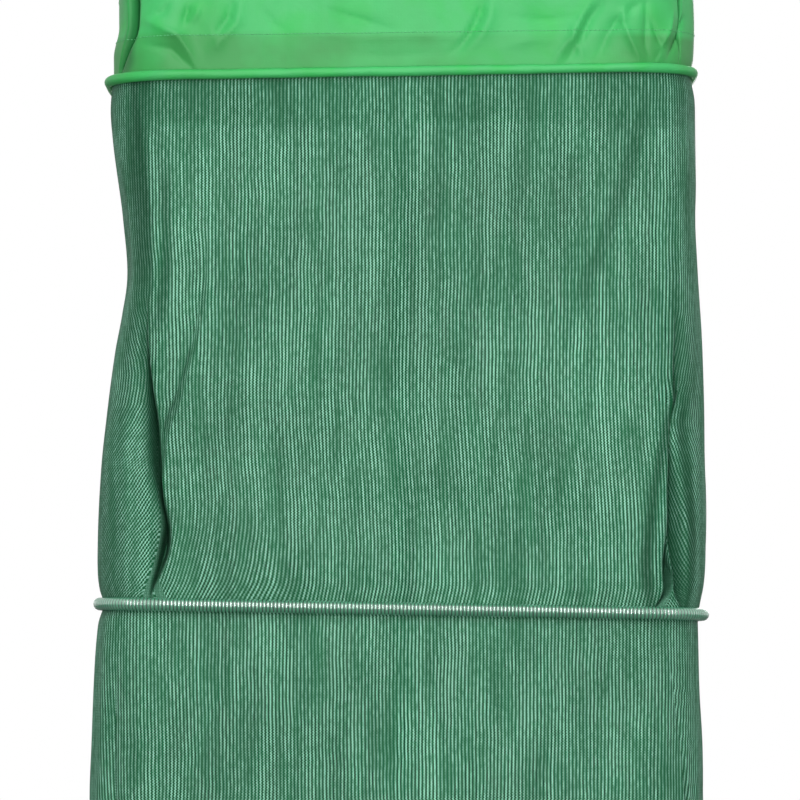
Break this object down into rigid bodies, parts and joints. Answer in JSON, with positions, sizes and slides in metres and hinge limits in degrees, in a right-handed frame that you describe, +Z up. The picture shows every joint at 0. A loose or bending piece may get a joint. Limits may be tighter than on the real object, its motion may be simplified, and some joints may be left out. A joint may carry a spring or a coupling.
{
  "type": "keep net",
  "caption": "Rectangular hanging keep net: nylon collar, knitted mesh sleeves between collapsible hoops, closed base, and a tilting socket that screws onto a bankstick.",
  "frame": {"origin": "middle of the lower face of the threaded insert, where the bankstick screws in", "axes": "+Z up, the way the net hangs; the net is on the -Y side of the bankstick, and its front faces -Y; +X is to the right seen from the front"},
  "size_m": [0.5068, 0.4449, 2.0267],
  "materials": {
    "frame_alloy": "drawn rod, satin",
    "rod_alloy": "drawn rod, satin, inside its cover",
    "green_nylon": "plain woven nylon, bright green, slight sheen",
    "green_mesh": "fine knitted polyester mesh, dark green",
    "green_tubing": "ribbed flexible tubing, dark green, glossy",
    "black_plastic": "moulded nylon, fine grain",
    "black_rubber": "matt",
    "screw_steel": "bright, turned",
    "ferrule_steel": "crimped sleeve, satin",
    "brass": "turned, bright"
  },
  "bodies": {
    "mouth": {"mouth_frame": "frame_alloy", "mouth_sleeve": "green_nylon", "clamp_body": "black_plastic", "clamp_cap": "black_plastic", "clamp_screw_1": "screw_steel", "clamp_screw_2": "screw_steel", "clamp_screw_3": "screw_steel", "clamp_screw_4": "screw_steel", "pivot_bolt": "screw_steel", "friction_washer_left": "black_rubber", "friction_washer_right": "black_rubber", "collar": "green_nylon"},
    "socket": {"bankstick_socket": "black_plastic", "thread_insert": "brass"},
    "washer": {"thrust_washer": "screw_steel"},
    "knob": {"lock_knob": "black_plastic", "knob_nut": "brass"},
    "hoop_1": {"hoop_1_rod": "rod_alloy", "hoop_1_ferrule": "ferrule_steel", "hoop_1_sleeve": "green_nylon", "mesh_section_1": "green_mesh"},
    "hoop_2": {"hoop_2_rod": "rod_alloy", "hoop_2_ferrule": "ferrule_steel", "hoop_2_cover": "green_tubing", "mesh_section_2": "green_mesh"},
    "hoop_3": {"hoop_3_rod": "rod_alloy", "hoop_3_ferrule": "ferrule_steel", "hoop_3_cover": "green_tubing", "mesh_section_3": "green_mesh"},
    "hoop_4": {"hoop_4_rod": "rod_alloy", "hoop_4_ferrule": "ferrule_steel", "hoop_4_cover": "green_tubing", "mesh_section_4": "green_mesh"},
    "base": {"base_hoop_rod": "rod_alloy", "base_hoop_ferrule": "ferrule_steel", "base_hoop_cover": "green_tubing", "base_panel": "green_mesh", "base_binding": "green_nylon"}
  },
  "joints": [
    {"name": "collar_fold", "type": "slide", "parent": "mouth", "child": "hoop_1", "axis": [0, 0, 1], "range_m": [0, 0.222], "deforming": ["collar"]},
    {"name": "section_1_fold", "type": "slide", "parent": "hoop_1", "child": "hoop_2", "axis": [0, 0, 1], "range_m": [0, 0.4095], "deforming": ["mesh_section_1"]},
    {"name": "section_2_fold", "type": "slide", "parent": "hoop_2", "child": "hoop_3", "axis": [0, 0, 1], "range_m": [0, 0.4095], "deforming": ["mesh_section_2"]},
    {"name": "section_3_fold", "type": "slide", "parent": "hoop_3", "child": "hoop_4", "axis": [0, 0, 1], "range_m": [0, 0.4095], "deforming": ["mesh_section_3"]},
    {"name": "section_4_fold", "type": "slide", "parent": "hoop_4", "child": "base", "axis": [0, 0, 1], "range_m": [0, 0.4095], "deforming": ["mesh_section_4"]},
    {"name": "socket_tilt", "type": "hinge", "parent": "mouth", "child": "socket", "pos_m": [0, 0, 0.038], "axis": [1, 0, 0], "range_deg": [-15, 105]},
    {"name": "knob_back_off", "type": "slide", "parent": "mouth", "child": "washer", "axis": [1, 0, 0], "range_m": [0, 0.002]},
    {"name": "knob_turn", "type": "hinge", "parent": "washer", "child": "knob", "pos_m": [0.0224, 0, 0.038], "axis": [1, 0, 0], "range_deg": [0, 720]}
  ],
  "couplings": [
    {"joint": "knob_back_off", "follows": "knob_turn", "m_per_rad": 0.00015915}
  ]
}
